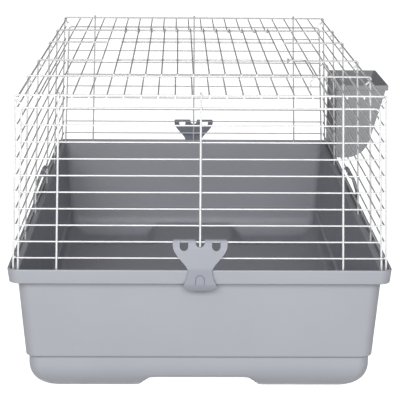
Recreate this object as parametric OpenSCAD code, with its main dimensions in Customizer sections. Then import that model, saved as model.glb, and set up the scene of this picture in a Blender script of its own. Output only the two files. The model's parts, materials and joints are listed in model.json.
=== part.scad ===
// Wire rabbit cage: a moulded plastic tray in abutting parts, a welded wire top with a roof door,
// plastic clips that hold the top on the tray, and a hay rack on one side.
// Millimetres, +Z up. X is the width, Y is the length, and the front end is at -Y.
// The origin is on the floor, under the middle of the cage's bounding box.

/* [Tray] */
// Outer width of the rim
rim_w = 551; // [548:1:554]
// Outer length of the rim
rim_l = 1000; // [980:1:1020]
// Height of the rim's top edge above the floor
rim_top = 193; // [188:1:198]
// Height of the turned-down skirt
skirt_h = 21; // [16:1:28]
// How much the skirt leans in towards its lower edge, per side
skirt_draft = 2; // [0:0.5:4]
// Depth of the groove that the wire top stands in, below the rim's top edge
groove_h = 6; // [4:1:8]
// Wall thickness
wall_t = 3; // [2:0.5:4]
// Width of the wall just below the rim
wall_top_w = 526; // [520:1:527]
// Width of the wall at its foot, above the step
wall_low_w = 506; // [502:1:512]
// Width of the base below the step
base_w = 498; // [492:1:500]
// Height of the step in the wall
step_z = 54; // [48:1:62]
// Height of the underside between the feet
arch_h = 21; // [14:1:24]
// Radius of the rounded bottom edge
edge_r = 42; // [36:1:46]
// Corner radius seen from above
corner_r = 16; // [10:1:30]
// Distance from the middle of the tray to a foot's flat, across the tray
foot_x = 95; // [80:1:120]
// Length of a foot's flat, along the tray
foot_l = 112; // [80:1:160]
// Run of the ramp that leads down to a foot's flat
foot_ramp = 25; // [10:1:35]

/* [Wire top] */
// Radius of the thin mesh wires
mesh_r = 1.2; // [1:0.1:1.4]
// Radius of the thick frame wires
frame_r = 1.5; // [1.3:0.1:1.8]
// Spacing of the roof's lengthwise wires
roof_pitch = 24; // [23.8:0.1:24.1]
// Gap at the roof between a side wall and the nearest lengthwise wire
side_gap = 28; // [26:0.5:28.5]
// Spacing of the side walls' rails
rail_pitch = 24; // [22:0.5:25]
// Height of the lowest rail above the rim's top edge
first_rail = 15; // [12:1:20]
// Number of rails below the top one
rails = 9; // [7:1:9]
// Height of the roof's crosswise wires above the rim's top edge
roof_h = 249.2; // [245:0.2:260]
// Length of the wire top between its outer cross wires
top_l = 977.2; // [970:0.2:980]
// How far each side wall leans in, from the tray up to the roof
top_lean = 8.6; // [5:0.2:9]
// Half the distance between the feet of an end wall's outer uprights
end_upright_x = 260.5; // [256:0.5:260.5]
// Half the distance between those uprights at their top bends
frame_top_x = 250.5; // [246:0.5:252]
// Distance of the feet of the end walls' inner uprights from the middle
inner_upright_x = 205; // [195:0.5:206]

/* [Roof door] */
// Front edge of the roof's opening
open_front = -305; // [-320:1:-290]
// First inner cross wire
cross_b = -131; // [-140:1:-120]
// Second inner cross wire
cross_c = 100; // [90:1:110]
// Rear edge of the opening, which is the hinge line
hinge_y = 276; // [270:1:280]
// Sideways step between the door's wires and the roof's
door_shift = 3; // [2.9:0.1:3.4]
// Gap between pieces that move past each other
gap = 0.3; // [0.2:0.05:0.4]

/* [Door latch] */
// Sideways place of the latch arm
latch_x = 172; // [170:1:174]
// How far in front of the door's cross wire the latch turns sideways
latch_reach = 15; // [12:1:20]

/* [Clips] */
// Width of a clip at its top
clip_w = 78; // [70:1:84]
// Width of a clip at its waist
clip_waist = 34; // [26:1:40]
// Width of a clip at its foot
clip_foot = 49; // [42:1:56]
// Thickness of a clip
clip_t = 3; // [2.5:0.5:3.5]
// Place along the tray of the two side clips
side_clip_y = -12; // [-30:1:0]

/* [Hay rack] */
// Length of the rack along the cage
rack_l = 196; // [180:1:197]
// How far the rack's rim stands out from its back
rack_out = 95; // [80:1:100]
// Height of the rack's bottom above the floor
rack_low = 200; // [198:1:210]
// Height of the rack's rim above the floor
rack_top = 340; // [334:1:341]
// Thickness of the rack's walls
rack_t = 2.5; // [2:0.5:3]
// Height of the rack's rim band
rack_band = 10; // [6:1:12]

/* [Hidden] */
$fn = 48;

// A weld presses crossing wires this far into each other.
weld = 0.05;
// Slice height used where sections are joined into a tapered solid.
slice_h = 0.5;
curve_fn = 32;
// Height of the sloped shoulder above the step.
step_h = 3;

ledge_z = rim_top - groove_h;
wall_top_z = ledge_z - wall_t;
floor_z = arch_h + wall_t;
inner_r = corner_r - wall_t;
wall_end_x = base_w/2 - corner_r;
wall_end_y = wall_end_x + (rim_l - rim_w)/2;
rim_end_y = rim_l/2 - corner_r;
skirt_low = rim_top - skirt_h;
end_gap = rim_l - rim_w;
roof_n = 21;
strip_pitches = 4;
side_x = (roof_n/2 - 1)*roof_pitch + side_gap;
side_foot_x = side_x + top_lean;
upright_out = mesh_r + frame_r - weld;
roof_z = rim_top + roof_h;
long_z = roof_z - frame_r - mesh_r + weld;
door_z = roof_z + frame_r + mesh_r + gap;
door_cross_z = door_z - frame_r - mesh_r + weld;
curl_r = frame_r + frame_r + 0.2;
top_rail_z = roof_z - curl_r;
top_rail_x = rail_x(top_rail_z) + upright_out - 2*frame_r + weld;
end_y = top_l/2;
knob_r = frame_r + frame_r + 0.4;
end_upright_y = end_y + knob_r;
end_rail_y = end_upright_y - frame_r - mesh_r + weld;
end_frame_y = end_rail_y - frame_r - mesh_r + weld;
side_end_y = end_y - 3.6;
rail_z = [for (i = [0 : rails]) rim_top + first_rail + i*rail_pitch];
frame_top_z = rail_z[rails];
frame_bend = 7;
cross_y = [-end_y, open_front, cross_b, cross_c, hinge_y, end_y];
upright_y = [-side_end_y, open_front + 4, cross_b + 4, cross_c + 4, hinge_y + 4, side_end_y];
open_x = (roof_n/2 - strip_pitches)*roof_pitch;
strip_end = end_y + 1.5;
tail_l = 9;

door_first = strip_pitches + 1;
door_last = roof_n - door_first;
door_front_y = open_front - 2*frame_r - 0.4;
hinge_loop_r = door_z - roof_z;
latch_eye_r = frame_r + mesh_r + gap;
latch_eye_x = roof_x(door_last) + door_shift + 10.5;
latch_bend = 6;
latch_nose = 4;
latch_s = 6;
latch_turn = 50;

clip_rail_z = rail_z[1];
rail_over_rim = clip_rail_z - rim_top;
rail_over_skirt = clip_rail_z - skirt_low;
clip_hook_r = 4;
clip_notch = 6.4;
clip_window = 12;
clip_window_x = 23;
clip_shoulder = -3;
clip_lip_in = 8;
clip_lip_h = 11.5;
clip_clear = 1.25;
clip_out_end = rim_l/2 - end_rail_y + clip_clear + clip_t/2;
clip_out_side = rim_w/2 - rail_x(clip_rail_z) + clip_clear + clip_t/2;

rack_back_x = rail_x(rack_low) + upright_out + frame_r + 0.7;
rack_y0 = hinge_y + 5;
rack_lip = 2;
rack_lean = 16;
rack_r = 46;
rack_bend_u = rack_out - (rack_top - rack_low - rack_r + rack_r*sin(rack_lean))*tan(rack_lean)
    - rack_r*cos(rack_lean);
rack_back_lip = 37;
rack_side = 8;
rack_hook_rail = 6;
rack_hook_sink = 0.02;
rack_rail_x = rail_x(rail_z[rack_hook_rail]);
rack_hook_r = rack_back_x - mesh_r + rack_hook_sink - rack_rail_x;
rack_hook_in = 20;
rack_hook_tail = 9;

clip_reach = clip_out_side + clip_t/2;
centre_x = (rack_back_x + rack_out + rack_lip - rail_x(clip_rail_z) - clip_reach)/2;

tray_color = [0.72, 0.73, 0.77];
wire_color = [0.90, 0.90, 0.91];
clip_color = [0.68, 0.69, 0.74];
rack_color = [0.60, 0.61, 0.65];

// Sideways place of the roof's lengthwise wire i, counted from 1 at the left.
function roof_x(i) = (i - roof_n/2)*roof_pitch;

// The wire top narrows evenly from the tray up to the roof.
function squeeze(z) = 1 - top_lean/side_foot_x*(z - ledge_z)/(roof_z - ledge_z);

// Sideways place of a side wall's rail at height z.
function rail_x(z) = side_foot_x*squeeze(z);

// Sideways place of an end wall's outer upright at height z.
function frame_x(z) = end_upright_x
    - (end_upright_x - frame_top_x)*(z - ledge_z)/(frame_top_z - ledge_z);

// Half width of the tray's base at height z, with its rounded bottom edge.
function base_half(z) = base_w/2 - edge_r + sqrt(edge_r*edge_r - pow(max(edge_r - z, 0), 2));

// Half width of the hollow at height z, with the floor's rounded edge.
function hollow_half(z) = base_w/2 - edge_r
    + sqrt(pow(edge_r - wall_t, 2) - pow(max(edge_r - z, 0), 2));

// A straight wire from p to q.
module wire(p, q, r) {
    d = q - p;
    translate(p)
        rotate([0, acos(d[2]/norm(d)), atan2(d[1], d[0])])
            cylinder(r = r, h = norm(d));
}

// A bent wire in the XY plane, from the angle start and through the angle sweep.
module bend(radius, r, start, sweep) {
    rotate([0, 0, start])
        mirror([0, sweep < 0 ? 1 : 0, 0])
            rotate_extrude(angle = abs(sweep)) translate([radius, 0]) circle(r = r);
}

// A wire bent about the X axis. Angle 0 points along +Y and 90 along +Z.
module bend_x(radius, r, start, sweep) {
    rotate([90, 0, 90]) bend(radius, r, start, sweep);
}

// A wire bent about the Y axis. Angle 0 points along +X and 90 along +Z.
module bend_y(radius, r, start, sweep) {
    rotate([90, 0, 0]) bend(radius, r, start, sweep);
}

// A plan-view rounded rectangle, built from true arcs.
module rounded_plan(w, l, r) {
    square([w - 2*r, l], center = true);
    square([w, l - 2*r], center = true);
    for (sx = [-1, 1]) for (sy = [-1, 1])
        translate([sx*(w/2 - r), sy*(l/2 - r)]) circle(r = r);
}

// The four corner posts of one tray section, which hull() joins to other sections.
module section_posts(w, r, z) {
    for (sx = [-1, 1]) for (sy = [-1, 1])
        translate([sx*(w/2 - r), sy*((w + end_gap)/2 - r), z])
            cylinder(r = r, h = slice_h, $fn = curve_fn);
}

// The pan below the step: the floor, its rounded edge and the four feet.
module tray_pan() {
    color(tray_color) difference() {
        union() {
            hull() {
                for (z = [arch_h, arch_h + 5, arch_h + 11, edge_r - 4])
                    section_posts(2*base_half(z), corner_r, z);
                section_posts(base_w, corner_r, step_z - slice_h);
            }
            feet(0);
        }
        hull() {
            for (z = [floor_z, floor_z + 3, floor_z + 8, edge_r - 4])
                section_posts(2*hollow_half(z), inner_r, z);
            section_posts(base_w - 2*wall_t, inner_r, step_z);
        }
        feet(wall_t);
    }
}

// The space inside the walls, made smaller by inset and longer by over.
module wall_space(inset, over) {
    hull() {
        section_posts(base_w - 2*inset, corner_r - inset, step_z - over);
        section_posts(wall_low_w - 2*inset, corner_r - inset, step_z + step_h);
    }
    hull() {
        section_posts(wall_low_w - 2*inset, corner_r - inset, step_z + step_h);
        section_posts(wall_top_w - 2*inset, corner_r - inset, wall_top_z - slice_h + over);
    }
}

// The part of the tray's walls that lies in one region seen from above.
module wall_part(x0, x1, y0, y1) {
    color(tray_color) intersection() {
        difference() {
            wall_space(0, 0);
            wall_space(wall_t, 1);
        }
        translate([x0, y0, 0]) cube([x1 - x0, y1 - y0, rim_top]);
    }
}

module tray_wall_front() { wall_part(-wall_end_x, wall_end_x, -rim_l/2, 0); }
module tray_wall_rear() { mirror([0, 1, 0]) tray_wall_front(); }
module tray_wall_left() { wall_part(-rim_w/2, 0, -wall_end_y, wall_end_y); }
module tray_wall_right() { mirror([1, 0, 0]) tray_wall_left(); }
module tray_corner_front_left() { wall_part(-rim_w/2, -wall_end_x, -rim_l/2, -wall_end_y); }
module tray_corner_front_right() { mirror([1, 0, 0]) tray_corner_front_left(); }
module tray_corner_rear_left() { mirror([0, 1, 0]) tray_corner_front_left(); }
module tray_corner_rear_right() { mirror([0, 1, 0]) tray_corner_front_right(); }

// The profile of one foot: a ramp on the inner side, a flat, and the rounded outer edge.
module foot_profile(flat, half, inset) {
    r = edge_r - inset;
    rise = arch_h + inset;
    edge_a = acos((edge_r - rise)/r);
    polygon(concat(
        [[flat - foot_ramp + inset, rise + 1], [flat + inset, inset]],
        [for (i = [0 : 5]) [half - edge_r + r*sin(edge_a*i/5), edge_r - r*cos(edge_a*i/5)]],
        [[half - edge_r + r*sin(edge_a), rise + 1]]));
}

module foot(sx, sy, inset) {
    half_l = (base_w + end_gap)/2;
    intersection() {
        on_side(sx) rotate([90, 0, 0])
            linear_extrude(rim_l, center = true) foot_profile(foot_x, base_w/2, inset);
        rotate([90, 0, 90])
            linear_extrude(rim_w, center = true)
                mirror([sy < 0 ? 1 : 0, 0]) foot_profile(half_l - edge_r - foot_l, half_l, inset);
        linear_extrude(step_z)
            rounded_plan(base_w - 2*inset, base_w + end_gap - 2*inset, corner_r - inset);
    }
}

// Mirrors to the left side when the sign is negative.
module on_side(s) {
    mirror([s < 0 ? 1 : 0, 0, 0]) children();
}

module feet(inset) {
    for (sx = [-1, 1]) for (sy = [-1, 1]) foot(sx, sy, inset);
}

// The skirt hangs from the rim and stands up past the groove as a lip.
module tray_skirt() {
    difference() {
        hull() {
            section_posts(rim_w, corner_r, rim_top - slice_h);
            section_posts(rim_w - 2*skirt_draft, corner_r, skirt_low);
        }
        translate([0, 0, skirt_low - 1])
            linear_extrude(skirt_h + 2)
                rounded_plan(rim_w - 2*wall_t - skirt_draft, rim_l - 2*wall_t - skirt_draft,
                    corner_r - wall_t);
    }
}

// The part of the rim in one region: the ledge that the wire top stands on, and the skirt.
module rim_part(x0, x1, y0, y1) {
    color(tray_color) intersection() {
        union() {
            difference() {
                translate([0, 0, wall_top_z]) linear_extrude(wall_t)
                    rounded_plan(rim_w - wall_t, rim_l - wall_t, corner_r);
                translate([0, 0, wall_top_z - 1]) linear_extrude(wall_t + 2)
                    rounded_plan(wall_top_w - 2*wall_t, wall_top_w + end_gap - 2*wall_t, inner_r);
            }
            tray_skirt();
        }
        translate([x0, y0, 0]) cube([x1 - x0, y1 - y0, rim_top + 1]);
    }
}

module tray_rim_front() { rim_part(-rim_w/2, rim_w/2, -rim_l/2, -rim_end_y); }
module tray_rim_rear() { mirror([0, 1, 0]) tray_rim_front(); }
module tray_rim_left() { rim_part(-rim_w/2, 0, -rim_end_y, rim_end_y); }
module tray_rim_right() { mirror([1, 0, 0]) tray_rim_left(); }

// The bent outer wire of an end wall, inside the rails: two uprights joined by a top rail.
module end_frame() {
    lean = atan((end_upright_x - frame_top_x)/(frame_top_z - ledge_z));
    bend_z = frame_top_z - frame_bend;
    bend_end_z = bend_z + frame_bend*sin(lean);
    bend_end = [frame_x(bend_end_z), 0, bend_end_z];
    bend_x = bend_end[0] - frame_bend*cos(lean);
    color(wire_color) translate([0, -end_frame_y, 0]) {
        for (s = [-1, 1]) on_side(s) {
            wire([end_upright_x, 0, ledge_z], bend_end, frame_r);
            translate(bend_end) sphere(r = frame_r + weld);
            translate([bend_x, 0, bend_z]) bend_y(frame_bend, frame_r, 90, lean - 90);
            translate([bend_x, 0, frame_top_z]) sphere(r = frame_r + weld);
        }
        wire([-bend_x, 0, frame_top_z], [bend_x, 0, frame_top_z], frame_r);
    }
}

// The inner uprights, outside the rails, rise past the frame and hook over the roof's end wire.
module end_uprights() {
    color(wire_color) for (x = [-inner_upright_x, 0, inner_upright_x]) {
        top_x = x*squeeze(roof_z);
        wire([x, -end_upright_y, ledge_z], [top_x, -end_upright_y, roof_z], frame_r);
        if (x != 0) translate([top_x, -end_upright_y, roof_z]) sphere(r = frame_r + weld);
        translate([top_x, -end_y, roof_z]) bend_x(knob_r, frame_r, 180, -210);
    }
}

// The rails end just past the outer uprights.
module end_rails() {
    color(wire_color) for (i = [0 : rails - 1]) {
        reach = frame_x(rail_z[i]) + frame_r + 0.8;
        wire([-reach, -end_rail_y, rail_z[i]], [reach, -end_rail_y, rail_z[i]], mesh_r);
    }
}

module front_frame() { end_frame(); }
module front_uprights() { end_uprights(); }
module front_rails() { end_rails(); }
module rear_frame() { mirror([0, 1, 0]) end_frame(); }
module rear_uprights() { mirror([0, 1, 0]) end_uprights(); }
module rear_rails() { mirror([0, 1, 0]) end_rails(); }

module side_uprights(s) {
    top_z = roof_z - 1;
    color(wire_color) for (y = upright_y)
        wire([s*(side_foot_x + upright_out), y, ledge_z], [s*(rail_x(top_z) + upright_out), y, top_z],
            frame_r);
}

module side_rails(s) {
    color(wire_color) for (z = rail_z)
        wire([s*rail_x(z), -side_end_y - 2, z], [s*rail_x(z), side_end_y + 2, z], mesh_r);
}

module side_top_rail(s) {
    color(wire_color)
        wire([s*top_rail_x, -end_y - 3, top_rail_z], [s*top_rail_x, end_y + 3, top_rail_z], frame_r);
}

module left_uprights() { side_uprights(-1); }
module left_rails() { side_rails(-1); }
module left_top_rail() { side_top_rail(-1); }
module right_uprights() { side_uprights(1); }
module right_rails() { side_rails(1); }
module right_top_rail() { side_top_rail(1); }

// The end of a crosswise roof wire: a hook round the side wall's top rail, with a short tail.
module cross_curl(s, y) {
    on_side(s) translate([top_rail_x, y, top_rail_z]) {
        bend_y(curl_r, frame_r, 90, -135);
        tail_from = curl_r*[cos(45), 0, -sin(45)];
        for (p = [[0, 0, curl_r], tail_from]) translate(p) sphere(r = frame_r + weld);
        wire(tail_from, tail_from + tail_l*[-cos(45), 0, -sin(45)], frame_r);
    }
}

module cross_wire(y) {
    wire([-top_rail_x, y, roof_z], [top_rail_x, y, roof_z], frame_r);
    cross_curl(-1, y);
    cross_curl(1, y);
}

module roof_cross_front() { color(wire_color) { cross_wire(cross_y[0]); cross_wire(cross_y[1]); } }
module roof_cross_rear() { color(wire_color) { cross_wire(cross_y[4]); cross_wire(cross_y[5]); } }

// The two inner cross wires stop at the opening.
module roof_stubs(s) {
    color(wire_color) for (y = [cross_b, cross_c]) {
        wire([s*(open_x - 2), y, roof_z], [s*top_rail_x, y, roof_z], frame_r);
        cross_curl(s, y);
    }
}

module roof_stubs_left() { roof_stubs(-1); }
module roof_stubs_right() { roof_stubs(1); }

module long_wires(from, to, y0, y1) {
    color(wire_color) for (i = [from : to])
        wire([roof_x(i), y0, long_z], [roof_x(i), y1, long_z], mesh_r);
}

module roof_strip_left() { long_wires(1, strip_pitches, -strip_end, strip_end); }
module roof_strip_right() { long_wires(roof_n - strip_pitches, roof_n - 1, -strip_end, strip_end); }
module roof_strip_front() { long_wires(door_first, door_last, -strip_end, open_front + 2); }
module roof_strip_rear() { long_wires(door_first, door_last, hinge_y - 2, strip_end); }

// Each lengthwise wire of the door ends in a loop round the roof's cross wire.
module door_long_wires() {
    color(wire_color) for (i = [door_first : door_last]) {
        x = roof_x(i) + door_shift;
        wire([x, door_front_y - 2, door_z], [x, hinge_y, door_z], mesh_r);
        translate([x, hinge_y, roof_z]) bend_x(hinge_loop_r, mesh_r, 90, -270);
    }
}

module door_cross_wires() {
    x0 = roof_x(door_first) + door_shift - 3;
    x1 = roof_x(door_last) + door_shift + 3;
    color(wire_color) {
        wire([x0, door_front_y, door_cross_z], [x1, door_front_y, door_cross_z], frame_r);
        wire([x0, cross_b, door_cross_z], [latch_eye_x + 3.5, cross_b, door_cross_z], frame_r);
        wire([x0, cross_c, door_cross_z], [x1, cross_c, door_cross_z], frame_r);
    }
}

// The latch: an eye round the door's cross wire, an arm over the roof's right strip,
// and an S-shaped finger hook that drops in front of the opening's front edge.
module door_latch() {
    z = door_cross_z + latch_eye_r;
    turn_y = cross_b - latch_reach;
    color(wire_color) {
        translate([latch_eye_x, cross_b, door_cross_z]) bend_x(latch_eye_r, mesh_r, 90, -270);
        wire([latch_eye_x, cross_b, z], [latch_eye_x, turn_y + latch_bend, z], mesh_r);
        translate([latch_eye_x + latch_bend, turn_y + latch_bend, z])
            bend(latch_bend, mesh_r, 180, 90);
        wire([latch_eye_x + latch_bend, turn_y, z], [latch_x - latch_bend, turn_y, z], mesh_r);
        translate([latch_x - latch_bend, turn_y - latch_bend, z]) bend(latch_bend, mesh_r, 0, 90);
        wire([latch_x, turn_y - latch_bend, z], [latch_x, open_front, z], mesh_r);
        translate([latch_x, open_front, z - latch_nose]) bend_x(latch_nose, mesh_r, 90, 90);
        translate([latch_x - latch_s, open_front - latch_nose, z - latch_nose]) {
            bend_y(latch_s, mesh_r, 0, -latch_turn);
            translate(latch_s*[cos(latch_turn), 0, -sin(latch_turn)]) sphere(r = mesh_r + weld);
            translate(2*latch_s*[cos(latch_turn), 0, -sin(latch_turn)])
                bend_y(latch_s, mesh_r, 180 - latch_turn, 2*latch_turn);
        }
    }
}

function unit(v) = v/norm(v);
function left_of(v) = [-v[1], v[0]];

// Point i of a path, moved sideways by d so that parallel edges stay parallel.
function beside(path, i, d) =
    let (into = unit(path[max(i, 1)] - path[max(i, 1) - 1]),
        last = len(path) - 1,
        out = unit(path[min(i + 1, last)] - path[min(i, last - 1)]),
        n = unit(left_of(into) + left_of(out)))
    path[i] + n*d/(n*left_of(into));

// A strip of even thickness along a path.
module strip(path, t) {
    n = len(path) - 1;
    polygon(concat([for (i = [0 : n]) beside(path, i, t/2)],
        [for (i = [n : -1 : 0]) beside(path, i, -t/2)]));
}

// Centre line of a clip from its hook down to the lip that turns in under the skirt, outward
// and up from the rail. The plate hangs the distance out from the rail.
function clip_bends(out) = [[-3.4, 0], [-7, -8], [-out, 3 - rail_over_rim],
    [-out, -rail_over_skirt - 0.5], [3 - out, -rail_over_skirt - 6.5],
    [clip_lip_in - out, -rail_over_skirt - clip_lip_h]];

// A clip's hook, plate and lip, extruded along its width. The rail is at the origin,
// -X is outward and +Y is up in each section.
module clip_sections(out) {
    linear_extrude(clip_w, center = true) difference() {
        circle(r = clip_hook_r);
        circle(r = mesh_r + gap);
        translate([-mesh_r, -2*clip_hook_r]) square([2*clip_hook_r, 2*clip_hook_r - mesh_r/2]);
    }
    linear_extrude(clip_w, center = true) strip(clip_bends(out), clip_t);
}

// Half width of a clip: wide at the hooks, narrow at the rim's top edge, wider at the foot.
function clip_upper(t) = clip_waist/2 + (clip_w - clip_waist)/2*pow(cos(90*t), 1.5);
function clip_lower(t) = clip_waist/2 + (clip_foot - clip_waist)/2*(1 - cos(90*t));

function clip_side(s) = concat(
    [[s*(clip_w/2 - 2), clip_hook_r + 1], [s*clip_w/2, clip_hook_r - 2]],
    [for (t = [0 : 0.125 : 1])
        [s*clip_upper(t), clip_shoulder - (rail_over_rim + clip_shoulder)*t]],
    [for (t = [0.2 : 0.2 : 1])
        [s*clip_lower(t), -rail_over_rim - (rail_over_skirt + 2.6 - rail_over_rim)*t]],
    [for (t = [0 : 0.25 : 0.75])
        [s*(clip_foot/2 - 1.5)*(1 - t), -rail_over_skirt - 5 - (clip_lip_h - 4)*(2 - t)*t]]);

module clip_outline() {
    right = clip_side(1);
    left = clip_side(-1);
    polygon(concat(right, [for (i = [len(left) - 1 : -1 : 0]) left[i]]));
}

// The notch lets a wall's upright through, and the two D-shaped windows show the rail.
module clip_windows() {
    circle(r = clip_notch);
    translate([-clip_notch, 0]) square([2*clip_notch, 2*clip_hook_r]);
    for (s = [-1, 1]) translate([s*clip_window_x, -clip_window/2 + 1]) {
        circle(d = clip_window);
        translate([-clip_window/2, 0]) square([clip_window, clip_window/2]);
    }
}

module clip(out) {
    color(clip_color) difference() {
        intersection() {
            rotate([90, 0, 90]) clip_sections(out);
            rotate([90, 0, 0]) linear_extrude(clip_w, center = true) clip_outline();
        }
        rotate([90, 0, 0]) linear_extrude(clip_w, center = true) clip_windows();
    }
}

module end_clip() {
    translate([0, -end_rail_y, clip_rail_z]) clip(clip_out_end);
}

module side_clip() {
    translate([rail_x(clip_rail_z), side_clip_y, clip_rail_z])
        rotate([0, 0, 90]) clip(clip_out_side);
}

module clip_front() { end_clip(); }
module clip_rear() { rotate([0, 0, 180]) end_clip(); }
module clip_left() { mirror([1, 0, 0]) side_clip(); }
module clip_right() { side_clip(); }

// The rack's end profile. X is outward from its back and Y is up.
module rack_profile(inset, top) {
    bend = rack_r - inset;
    wall_u = rack_bend_u + bend*cos(rack_lean);
    wall_z = rack_low + rack_r - bend*sin(rack_lean);
    polygon(concat(
        [[inset, rack_low + inset]],
        [for (a = [-90 : 14.8 : -rack_lean])
            [rack_bend_u + bend*cos(a), rack_low + rack_r + bend*sin(a)]],
        [[wall_u + (top - wall_z)*tan(rack_lean), top], [inset, top]]));
}

module rack_slab(y0, y1) {
    translate([rack_back_x, y1, 0]) rotate([90, 0, 0]) linear_extrude(y1 - y0) children();
}

// An open trough with a rim band and a wide window in its back, towards the wires.
module hay_rack() {
    y1 = rack_y0 + rack_l;
    color(rack_color) difference() {
        union() {
            rack_slab(rack_y0, y1) rack_profile(0, rack_top);
            translate([rack_back_x, rack_y0 - rack_lip, rack_top - rack_band])
                cube([rack_out + rack_lip, rack_l + 2*rack_lip, rack_band]);
        }
        rack_slab(rack_y0 + rack_t, y1 - rack_t) rack_profile(rack_t, rack_top + 1);
        translate([rack_back_x - 1, rack_y0 + rack_side, rack_low + rack_back_lip])
            cube([rack_t + 2, rack_l - 2*rack_side,
                rack_top - rack_band - rack_low - rack_back_lip]);
    }
}

// Wire hooks on the rack's back bar, over one of the right wall's rails.
module hay_rack_hooks() {
    z = rail_z[rack_hook_rail] + mesh_r + gap - (rack_hook_r - mesh_r);
    color(wire_color) for (y = [rack_y0 + rack_hook_in, rack_y0 + rack_l - rack_hook_in])
        translate([rack_rail_x, y, 0]) {
            wire([rack_hook_r, 0, rack_top - rack_band + 1], [rack_hook_r, 0, z], mesh_r);
            translate([0, 0, z]) bend_y(rack_hook_r, mesh_r, 0, 180);
            for (s = [-1, 1]) translate([s*rack_hook_r, 0, z]) sphere(r = mesh_r + weld);
            wire([-rack_hook_r, 0, z], [-rack_hook_r, 0, z - rack_hook_tail], mesh_r);
        }
}

// Puts the middle of the bounding box over the origin.
module place() {
    translate([-centre_x, 0, 0]) children();
}

place() tray_pan();
place() tray_wall_front();
place() tray_wall_rear();
place() tray_wall_left();
place() tray_wall_right();
place() tray_corner_front_left();
place() tray_corner_front_right();
place() tray_corner_rear_left();
place() tray_corner_rear_right();
place() tray_rim_front();
place() tray_rim_rear();
place() tray_rim_left();
place() tray_rim_right();
place() front_frame();
place() front_uprights();
place() front_rails();
place() rear_frame();
place() rear_uprights();
place() rear_rails();
place() left_uprights();
place() left_rails();
place() left_top_rail();
place() right_uprights();
place() right_rails();
place() right_top_rail();
place() roof_cross_front();
place() roof_cross_rear();
place() roof_stubs_left();
place() roof_stubs_right();
place() roof_strip_left();
place() roof_strip_right();
place() roof_strip_front();
place() roof_strip_rear();
place() door_long_wires();
place() door_cross_wires();
place() door_latch();
place() clip_front();
place() clip_rear();
place() clip_left();
place() clip_right();
place() hay_rack();
place() hay_rack_hooks();
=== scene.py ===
import json
import math

import bmesh
import bpy
from mathutils import Matrix, Vector


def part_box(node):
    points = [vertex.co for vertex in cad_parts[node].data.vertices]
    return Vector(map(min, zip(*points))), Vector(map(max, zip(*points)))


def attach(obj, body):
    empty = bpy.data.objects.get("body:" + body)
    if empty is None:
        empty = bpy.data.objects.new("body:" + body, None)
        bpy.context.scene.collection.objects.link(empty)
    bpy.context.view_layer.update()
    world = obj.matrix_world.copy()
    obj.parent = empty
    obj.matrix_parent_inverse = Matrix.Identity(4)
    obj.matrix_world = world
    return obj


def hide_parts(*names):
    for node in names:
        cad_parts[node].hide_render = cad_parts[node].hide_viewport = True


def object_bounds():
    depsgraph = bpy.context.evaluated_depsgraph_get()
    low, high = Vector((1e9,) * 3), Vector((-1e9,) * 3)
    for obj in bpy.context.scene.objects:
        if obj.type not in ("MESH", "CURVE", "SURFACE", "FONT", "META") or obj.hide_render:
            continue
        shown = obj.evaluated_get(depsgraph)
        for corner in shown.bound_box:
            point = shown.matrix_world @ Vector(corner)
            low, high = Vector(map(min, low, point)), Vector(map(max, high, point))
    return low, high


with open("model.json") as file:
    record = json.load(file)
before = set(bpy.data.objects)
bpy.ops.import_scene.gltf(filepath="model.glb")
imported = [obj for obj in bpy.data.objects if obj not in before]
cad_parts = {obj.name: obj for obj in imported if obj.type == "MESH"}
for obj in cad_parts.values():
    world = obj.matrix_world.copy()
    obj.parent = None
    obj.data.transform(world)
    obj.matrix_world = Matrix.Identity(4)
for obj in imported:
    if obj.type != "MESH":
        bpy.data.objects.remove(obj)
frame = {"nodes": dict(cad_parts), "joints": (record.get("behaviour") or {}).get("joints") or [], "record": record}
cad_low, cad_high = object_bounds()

MM = 0.001
nodes = frame["nodes"]
joints = {j["name"]: j for j in frame["joints"]}

TRAY_NODES = [row["node"] for row in frame["record"]["subparts"] if row["material_slot"] == "tray"]
tray_boxes = [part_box(name) for name in TRAY_NODES]
TRAY_LOW = Vector([min(low[k] for low, _ in tray_boxes) for k in range(3)])
TRAY_HIGH = Vector([max(high[k] for _, high in tray_boxes) for k in range(3)])
CENTRE_X = (TRAY_LOW.x + TRAY_HIGH.x) / 2
CENTRE_Y = (TRAY_LOW.y + TRAY_HIGH.y) / 2


# ---------------------------------------------------------------- materials

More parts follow.
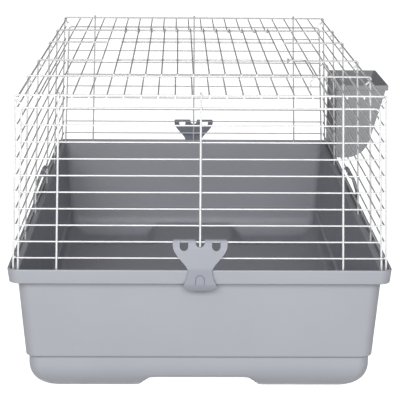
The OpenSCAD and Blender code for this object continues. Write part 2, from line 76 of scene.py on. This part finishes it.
class Graph:
    """A material's node tree, with short calls for adding nodes and links."""

    def __init__(self, name):
        self.material = bpy.data.materials.new(name)
        self.material.use_nodes = True
        self.tree = self.material.node_tree
        self.tree.nodes.clear()
        self.shader = self.node("ShaderNodeBsdfPrincipled")
        out = self.node("ShaderNodeOutputMaterial")
        self.link(self.shader.outputs["BSDF"], out.inputs["Surface"])
        self.place = self.node("ShaderNodeTexCoord").outputs["Object"]

    def node(self, kind, **settings):
        made = self.tree.nodes.new(kind)
        for key, value in settings.items():
            setattr(made, key, value)
        return made

    def link(self, source, target):
        self.tree.links.new(source, target)

    def stretched(self, scale):
        mapping = self.node("ShaderNodeMapping")
        mapping.inputs["Scale"].default_value = scale
        self.link(self.place, mapping.inputs["Vector"])
        return mapping.outputs["Vector"]

    def noise(self, scale, detail=3.0, roughness=0.5, vector=None):
        made = self.node("ShaderNodeTexNoise")
        made.inputs["Scale"].default_value = scale
        made.inputs["Detail"].default_value = detail
        made.inputs["Roughness"].default_value = roughness
        self.link(vector or self.place, made.inputs["Vector"])
        return made.outputs["Fac"]

    def span(self, value, low, high, to_low, to_high):
        made = self.node("ShaderNodeMapRange")
        limits = {"From Min": low, "From Max": high, "To Min": to_low, "To Max": to_high}
        for key, number in limits.items():
            made.inputs[key].default_value = number
        self.link(value, made.inputs["Value"])
        return made.outputs["Result"]

    def tint(self, factor, dark, light):
        ramp = self.node("ShaderNodeValToRGB")
        ramp.color_ramp.elements[0].position = 0.3
        ramp.color_ramp.elements[1].position = 0.7
        ramp.color_ramp.elements[0].color = (*dark, 1)
        ramp.color_ramp.elements[1].color = (*light, 1)
        self.link(factor, ramp.inputs["Fac"])
        return ramp.outputs["Color"]

    def mixed(self, factor, first, second):
        mix = self.node("ShaderNodeMix", data_type="RGBA")
        self.link(factor, mix.inputs[0])
        self.link(first, mix.inputs[6])
        mix.inputs[7].default_value = (*second, 1)
        return mix.outputs[2]

    def bump(self, height, distance, strength=1.0, below=None):
        made = self.node("ShaderNodeBump")
        made.inputs["Strength"].default_value = strength
        made.inputs["Distance"].default_value = distance
        self.link(height, made.inputs["Height"])
        if below is not None:
            self.link(below, made.inputs["Normal"])
        return made.outputs["Normal"]


def shade(colour, factor):
    return tuple(min(1.0, c * factor) for c in colour)


def plastic(name, colour, rough, grain_size, grain_depth, scuffs):
    """Moulded plastic: a fine spark-eroded grain, slow tone and gloss changes, and faint scuffs."""
    g = Graph(name)
    slow = g.noise(5.5, 2.0)
    tone = g.tint(slow, shade(colour, 0.965), shade(colour, 1.03))
    rub = g.noise(34.0, 5.0, 0.62, g.stretched((1.0, 0.22, 2.6)))
    scuffed = g.span(rub, 0.64, 0.74, 0.0, scuffs)
    g.link(g.mixed(scuffed, tone, shade(colour, 1.22)), g.shader.inputs["Base Color"])
    gloss = g.span(g.noise(26.0, 4.0, 0.6), 0.3, 0.7, rough - 0.05, rough + 0.06)
    g.link(gloss, g.shader.inputs["Roughness"])
    grain = g.noise(1.0 / grain_size, 2.0, 0.55)
    waves = g.bump(g.noise(9.0, 1.0), 0.0011, 0.5)
    g.link(g.bump(grain, grain_depth, 0.8, waves), g.shader.inputs["Normal"])
    g.shader.inputs["IOR"].default_value = 1.49
    g.shader.inputs["Specular IOR Level"].default_value = 0.45
    return g.material


def coated_wire(name, colour, rough):
    """Smooth coated steel wire: a slight orange-peel, and greyer spots where the coat is thin."""
    g = Graph(name)
    tone = g.tint(g.noise(30.0, 2.0), shade(colour, 0.95), shade(colour, 1.03))
    thin = g.span(g.noise(160.0, 4.0, 0.65), 0.66, 0.76, 0.0, 0.4)
    g.link(g.mixed(thin, tone, shade(colour, 0.72)), g.shader.inputs["Base Color"])
    gloss = g.span(g.noise(90.0, 3.0), 0.3, 0.7, rough - 0.06, rough + 0.08)
    g.link(gloss, g.shader.inputs["Roughness"])
    g.link(g.bump(g.noise(700.0, 2.0), 0.00006, 0.7), g.shader.inputs["Normal"])
    g.shader.inputs["Metallic"].default_value = 0.15
    g.shader.inputs["Coat Weight"].default_value = 0.35
    g.shader.inputs["Coat Roughness"].default_value = 0.22
    return g.material


TRAY = plastic("tray_plastic", (0.345, 0.355, 0.393), 0.42, 0.0011, 0.00008, 0.16)
CLIP = plastic("clip_plastic", (0.265, 0.277, 0.318), 0.38, 0.0008, 0.00005, 0.12)
# The clip arch's material is a darker copy of the clip plastic. It is painted shade along the embossed ridge, not
# a different plastic.
CLIP_ARCH_SHADE = plastic("clip_arch_painted_shade", (0.165, 0.172, 0.197), 0.45, 0.0008, 0.00005, 0.12)
RACK = plastic("rack_plastic", (0.36, 0.367, 0.39), 0.40, 0.0010, 0.00006, 0.14)
WIRE = coated_wire("wire_coat", (0.68, 0.68, 0.69), 0.34)


# ---------------------------------------------------------------- mesh helpers

def add_piece(name, mesh, material, body):
    piece = bpy.data.objects.new(name, mesh)
    bpy.context.scene.collection.objects.link(piece)
    mesh.materials.append(material)
    for face in mesh.polygons:
        face.use_smooth = True
    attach(piece, body)
    return piece


def mesh_from(name, points, faces):
    mesh = bpy.data.meshes.new(name)
    mesh.from_pydata([tuple(p) for p in points], [], faces)
    mesh.validate()
    bm = bmesh.new()
    bm.from_mesh(mesh)
    bmesh.ops.recalc_face_normals(bm, faces=bm.faces)
    bm.to_mesh(mesh)
    bm.free()
    return mesh


def weigh_normals(piece):
    modifier = piece.modifiers.new("normals", "WEIGHTED_NORMAL")
    modifier.weight = 60
    modifier.keep_sharp = False


def soften(piece, width):
    """Rounds a CAD node's hard edges with modifiers, and leaves its mesh as it is."""
    for face in piece.data.polygons:
        face.use_smooth = True
    if "custom_normal" in piece.data.attributes:
        piece.data.attributes.remove(piece.data.attributes["custom_normal"])
    weld = piece.modifiers.new("weld", "WELD")
    weld.merge_threshold = 0.00001
    bevel = piece.modifiers.new("bevel", "BEVEL")
    bevel.width = width
    bevel.segments = 3
    bevel.limit_method = "ANGLE"
    bevel.angle_limit = math.radians(34)
    bevel.use_clamp_overlap = True
    bevel.harden_normals = True


# ---------------------------------------------------------------- tray

END_GAP = ((TRAY_HIGH.y - TRAY_LOW.y) - (TRAY_HIGH.x - TRAY_LOW.x)) / 2 / MM
RIM_HALF = (TRAY_HIGH.x - TRAY_LOW.x) / 2 / MM
RIM_TOP = TRAY_HIGH.z / MM
LEDGE = RIM_TOP - 6
EDGE_R = 42.0
WALL = 3.0
BASE_HALF = 249.0
ARCH = 21.0
ARCH_HALF_X, ARCH_HALF_Y, RAMP = 70, 294.5, 25
OUTER_CORNER, INNER_CORNER = 16.0, 13.0
ARC_STEPS = 13
RING_STEP = 8.5
UPRIGHT_X = 205
UPRIGHT_Y = (-301, -127, 104, 280)
CORNER_STEPS, SIDE_STEPS, LONG_STEPS = 12, 62, 120


def outline(half_x, radius):
    """A rounded rectangle's points, in millimetres from the tray's middle."""
    half_y = half_x + END_GAP
    points = []
    for quarter in range(4):
        turn = math.radians(90 * quarter)
        along, across = (half_y, half_x) if quarter % 2 == 0 else (half_x, half_y)
        steps = LONG_STEPS if quarter % 2 == 0 else SIDE_STEPS
        run = along - radius
        local = [(across, -run + 2 * run * i / steps) for i in range(steps)]
        for i in range(CORNER_STEPS):
            a = math.radians(90 * i / CORNER_STEPS)
            local.append((across - radius + radius * math.cos(a), along - radius + radius * math.sin(a)))
        c, s = math.cos(turn), math.sin(turn)
        points += [(x * c - y * s, x * s + y * c) for x, y in local]
    return points


def ease(t):
    t = max(0.0, min(1.0, t))
    return t * t * (3 - 2 * t)


def smooth_max(a, b, k):
    h = max(k - abs(a - b), 0.0) / k
    return max(a, b) + h * h * k / 4


def under_height(x, y, inset, shell):
    """Height of the tray's bottom skin: feet, the arches between them and the rounded edge."""
    across = ease((abs(x) - ARCH_HALF_X - shell) / RAMP)
    along = ease((abs(y) - ARCH_HALF_Y - shell) / RAMP)
    plane = ARCH * (1 - min(across, along)) + shell
    radius = EDGE_R - shell
    if inset < radius:
        edge = EDGE_R - math.sqrt(radius * radius - (radius - inset) ** 2)
    else:
        edge = shell - (inset - radius)
    return smooth_max(edge, plane, 2.4)


def groove_depth(x, y):
    """The narrow groove behind the rim's lip stops short of each wire foot at the ends and sides."""
    depth = 1.0
    if abs(y) > 470:
        for foot in (-UPRIGHT_X, UPRIGHT_X):
            depth = min(depth, ease((abs(x - foot) - 11) / 1.5))
    else:
        for foot in UPRIGHT_Y:
            depth = min(depth, ease((abs(y - foot) - 9) / 1.5))
    return depth


# The skin's sections from the step up to the rim and over it, and from the ledge down to the floor:
# half the tray's width, and the height, in millimetres. None stands for the groove in the ledge.
OUTSIDE = (
    (249, 47), (249, 52.2), (249.15, 53.4), (249.7, 54.3), (252.3, 56.2), (252.9, 57),
    (253.15, 58.4), (254.8, 80), (257.96, 120), (261.1, 160), (262.8, 182), (263.1, 183.2),
    (263.9, 184), (266, 184), (269.7, 184), (270.9, 183.5), (271.5, 182), (271.5, 173.2),
    (271.8, 172.4), (272.5, 172), (272.9, 172.1), (273.4, 172.6), (273.6, 173.6),
    (274.4, 181), (275.2, 189), (RIM_HALF, 191.3), (275.3, 192.4), (274.6, 192.9),
    (273.7, RIM_TOP), (272.9, 192.9), (272.1, 192.5), (271.6, 191.6), (271.5, 190))
INSIDE = (
    (271.5, 187.3), (271.4, None), (270.2, None), (269.3, None), (269.1, LEDGE),
    (268.2, LEDGE), (264, LEDGE), (261.4, LEDGE), (260.4, 186.7), (259.9, 186.0),
    (259.8, 184.6), (258.1, 160), (254.96, 120), (251.8, 80), (250.15, 59), (249.85, 57.9),
    (249.2, 57), (246.8, 55), (246.15, 54), (246.0, 52.6))


def channel(x, y):
    return LEDGE - 2.4 * groove_depth(x, y)


def flat_insets(start, limit):
    return [d for d in (start + RING_STEP * i for i in range(1, 25)) if d < limit]


def arc_insets(radius):
    return [radius * (1 - math.sin(math.radians(90 * i / ARC_STEPS))) for i in range(ARC_STEPS + 1)]


def bottom_ring(half, inset, radius, shell):
    return half - inset, radius, lambda x, y: under_height(x, y, inset, shell)


def tray_rings():
    """The tray's whole skin as a run of rings, from the middle of its underside to its floor's."""
    rings = [bottom_ring(BASE_HALF, d, OUTER_CORNER, 0.0)
             for d in [*reversed(flat_insets(EDGE_R, 233)), *arc_insets(EDGE_R)]]
    rings += [(half, OUTER_CORNER, z) for half, z in OUTSIDE]
    rings += [(half, INNER_CORNER, channel if z is None else z) for half, z in INSIDE]
    thin = EDGE_R - WALL
    rings += [bottom_ring(BASE_HALF - WALL, d, INNER_CORNER, WALL)
              for d in [*reversed(arc_insets(thin)), *flat_insets(thin, 230)]]
    return rings


def build_tray():
    points, faces = [], []
    rings = tray_rings()
    for half, radius, height in rings:
        for x, y in outline(half, min(radius, half * 0.6)):
            z = height(x, y) if callable(height) else height
            points.append((CENTRE_X + x * MM, CENTRE_Y + y * MM, z * MM))
    count = len(points) // len(rings)
    for r in range(len(rings) - 1):
        for i in range(count):
            j = (i + 1) % count
            faces.append((r * count + i, r * count + j, (r + 1) * count + j, (r + 1) * count + i))
    faces.append(tuple(range(count)))
    faces.append(tuple(range(len(points) - count, len(points))))
    tray = add_piece("tray_shell", mesh_from("tray_shell", points, faces), TRAY, "cage")
    weigh_normals(tray)
    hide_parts(*TRAY_NODES)


build_tray()


# ---------------------------------------------------------------- clip arches

def swept(path, normals, radius, sides=10):
    """A round wire along a path, closed at both ends; the normals keep the rings from twisting."""
    points, faces = [], []
    for i, centre in enumerate(path):
        ahead = (path[min(i + 1, len(path) - 1)] - path[max(i - 1, 0)]).normalized()
        across = ahead.cross(normals[i]).normalized()
        for k in range(sides):
            a = 2 * math.pi * k / sides
            points.append(centre + radius * (math.cos(a) * across + math.sin(a) * normals[i]))
    for i in range(len(path) - 1):
        for k in range(sides):
            n = (k + 1) % sides
            faces.append((i * sides + k, i * sides + n, (i + 1) * sides + n, (i + 1) * sides + k))
    faces.append(tuple(range(sides)))
    faces.append(tuple(range(len(points) - sides, len(points))))
    return points, faces


ARCH_LINE_HALF = 6.2
ARCH_LINE_R = 0.6
ARCH_LINE_STRAIGHT = (0, 3, 6)
ARCH_LINE_SPRING = 7.4
ARCH_LINE_DROP = 59.2


def clip_arch(body, out, along, reach):
    """The raised arch on a clip's plate, in a darker copy of the clip plastic that paints the emboss's shade. The
    plate's face is reach from the rail, towards out.
    """
    hinge = Vector(joints[body + "_swing"]["pos_m"])
    foot = hinge + out * reach * MM - Vector((0, 0, ARCH_LINE_DROP * MM))

    def at(side, height):
        return foot + along * ARCH_LINE_HALF * MM * side + Vector((0, 0, height * MM))

    path = [at(-1, z) for z in ARCH_LINE_STRAIGHT]
    for i in range(1, 12):
        a = math.pi * (1 - i / 12)
        path.append(at(math.cos(a), ARCH_LINE_SPRING + ARCH_LINE_HALF * math.sin(a)))
    path += [at(1, z) for z in reversed(ARCH_LINE_STRAIGHT)]
    points, faces = swept(path, [out] * len(path), ARCH_LINE_R * MM)
    # The arch gets the darker clip plastic, which is painted shade along the ridge.
    add_piece(body + "_arch", mesh_from(body + "_arch", points, faces), CLIP_ARCH_SHADE, body)


X, Y = Vector((1, 0, 0)), Vector((0, 1, 0))
END_REACH, SIDE_REACH = 14.9, 16.67
clip_arch("clip_front", -Y, X, END_REACH)
clip_arch("clip_rear", Y, X, END_REACH)
clip_arch("clip_left", -X, Y, SIDE_REACH)
clip_arch("clip_right", X, Y, SIDE_REACH)


# ---------------------------------------------------------------- weld spots

PITCH = 24
RAIL_Z = [208 + PITCH * i for i in range(10)]
SIDE_WIRE_Y = (-485, *UPRIGHT_Y, 485)
SIDE_RAIL_X, SIDE_LEAN, SIDE_RISE = 264.6, 8.6, 255.2
FRAME_X, FRAME_LEAN, FRAME_RISE = 260.5, 10, 237
END_UPRIGHT_Y, END_FRAME_Y = 490.55, 488.15
ROOF_Z = 442.2
ROOF_MIDDLE = 10.5
CROSS_Y = (-488.6, -305, -131, 100, 276, 488.6)
DOOR_WIRES = range(5, 17)
DOOR_Y = (-131, 100)
DOOR_CROSS_Y = (-308.4, *DOOR_Y)
BEAD_R = 1.5


def side_rail_x(z):
    return SIDE_RAIL_X - SIDE_LEAN * (z - LEDGE) / SIDE_RISE


def cage_crossings():
    """Where the fixed wires press on each other, in millimetres from the tray's middle."""
    found = []
    for side in (-1, 1):
        for z in RAIL_Z:
            for y in SIDE_WIRE_Y:
                found.append((side * (side_rail_x(z) + 1.2), y, z))
        for z in RAIL_Z[:-1]:
            for x in (-UPRIGHT_X, 0, UPRIGHT_X):
                found.append((x * side_rail_x(z) / SIDE_RAIL_X, side * END_UPRIGHT_Y, z))
            for x in (-1, 1):
                frame_x = FRAME_X - FRAME_LEAN * (z - LEDGE) / FRAME_RISE
                found.append((x * frame_x, side * END_FRAME_Y, z))
    for y in CROSS_Y:
        for i in range(1, 21):
            if i not in DOOR_WIRES or y not in DOOR_Y:
                found.append(((i - ROOF_MIDDLE) * PITCH, y, ROOF_Z - 1.5))
    return found


def door_crossings():
    return [((i - ROOF_MIDDLE) * PITCH + 3, y, ROOF_Z + 1.85) for y in DOOR_CROSS_Y for i in DOOR_WIRES]


def weld_spots(name, body, centres, radius):
    """Small beads of weld on one body, in one mesh."""
    bm = bmesh.new()
    for x, y, z in centres:
        spot = Matrix.Translation((CENTRE_X + x * MM, CENTRE_Y + y * MM, z * MM))
        bmesh.ops.create_icosphere(bm, subdivisions=2, radius=radius * MM, matrix=spot)
    mesh = bpy.data.meshes.new(name)
    bm.to_mesh(mesh)
    bm.free()
    add_piece(name, mesh, WIRE, body)


weld_spots("cage_welds", "cage", cage_crossings(), BEAD_R)
weld_spots("door_welds", "roof_door", door_crossings(), BEAD_R)


# ---------------------------------------------------------------- carried-over CAD nodes

SLOT_MATERIAL = {"tray": TRAY, "wire": WIRE, "clip": CLIP, "rack": RACK}
for row in frame["record"]["subparts"]:
    target = nodes[row["node"]]
    target.data.materials.clear()
    target.data.materials.append(SLOT_MATERIAL[row["material_slot"]])
for name in ("clip_front", "clip_rear", "clip_left", "clip_right"):
    soften(nodes[name], 0.0007)
soften(nodes["hay_rack"], 0.0012)


# ---------------------------------------------------------------- stage, light and camera

SENSOR = 36.0
IMAGE_WIDTH, FOCAL = 400, 1562
VIEW_TURN = (12.96, 0.85, 0.39)


def camera():
    data = bpy.data.cameras.new("view")
    data.sensor_width = SENSOR
    data.lens = FOCAL / IMAGE_WIDTH * SENSOR
    data.clip_start = 0.05
    data.clip_end = 100
    pitch, yaw, roll = (math.radians(a) for a in VIEW_TURN)
    ahead = Vector((math.sin(yaw) * math.cos(pitch), math.cos(yaw) * math.cos(pitch), -math.sin(pitch)))
    flat = Vector((math.cos(yaw), -math.sin(yaw), 0))
    above = flat.cross(ahead)
    right = math.cos(roll) * flat + math.sin(roll) * above
    up = -math.sin(roll) * flat + math.cos(roll) * above
    turn = Matrix((right, up, -ahead)).transposed().to_4x4()
    spot = Vector((CENTRE_X - 0.0325, CENTRE_Y - 2.643, 0.789))
    eye = bpy.data.objects.new("view", data)
    bpy.context.scene.collection.objects.link(eye)
    eye.matrix_world = Matrix.Translation(spot) @ turn
    bpy.context.scene.camera = eye


def area_light(name, spot, target, size, power):
    data = bpy.data.lights.new(name, "AREA")
    data.shape = "RECTANGLE"
    data.size, data.size_y = size
    data.energy = power
    lamp = bpy.data.objects.new(name, data)
    bpy.context.scene.collection.objects.link(lamp)
    lamp.location = spot
    lamp.rotation_euler = (Vector(target) - Vector(spot)).to_track_quat("-Z", "Y").to_euler()


def floor():
    bm = bmesh.new()
    bmesh.ops.create_circle(bm, cap_ends=True, segments=64, radius=30)
    mesh = bpy.data.meshes.new("studio_floor")
    bm.to_mesh(mesh)
    bm.free()
    g = Graph("studio_floor")
    g.link(g.span(g.noise(3.0), 0.3, 0.7, 0.88, 0.92), g.shader.inputs["Roughness"])
    g.shader.inputs["Base Color"].default_value = (0.88, 0.88, 0.88, 1)
    g.shader.inputs["Emission Color"].default_value = (1, 1, 1, 1)
    g.shader.inputs["Emission Strength"].default_value = 1.0
    mesh.materials.append(g.material)
    ground = bpy.data.objects.new("studio_floor", mesh)
    ground.location = (0, 0, cad_low.z - 0.0002)
    bpy.context.scene.collection.objects.link(ground)
    ground.visible_diffuse = False
    ground.visible_shadow = False


def studio():
    world = bpy.data.worlds.new("studio")
    bpy.context.scene.world = world
    world.use_nodes = True
    sky = world.node_tree.nodes["Background"]
    sky.inputs["Color"].default_value = (1, 1, 1, 1)
    sky.inputs["Strength"].default_value = 0.18
    area_light("front_soft", (-0.3, -2.5, 1.2), (0, 0, 0.2), (2.0, 1.2), 57)
    area_light("low_fill", (0.0, -2.6, 0.1), (0, 0, 0.15), (2.6, 0.5), 12)
    bpy.context.scene.view_settings.view_transform = "Standard"


floor()
studio()
camera()
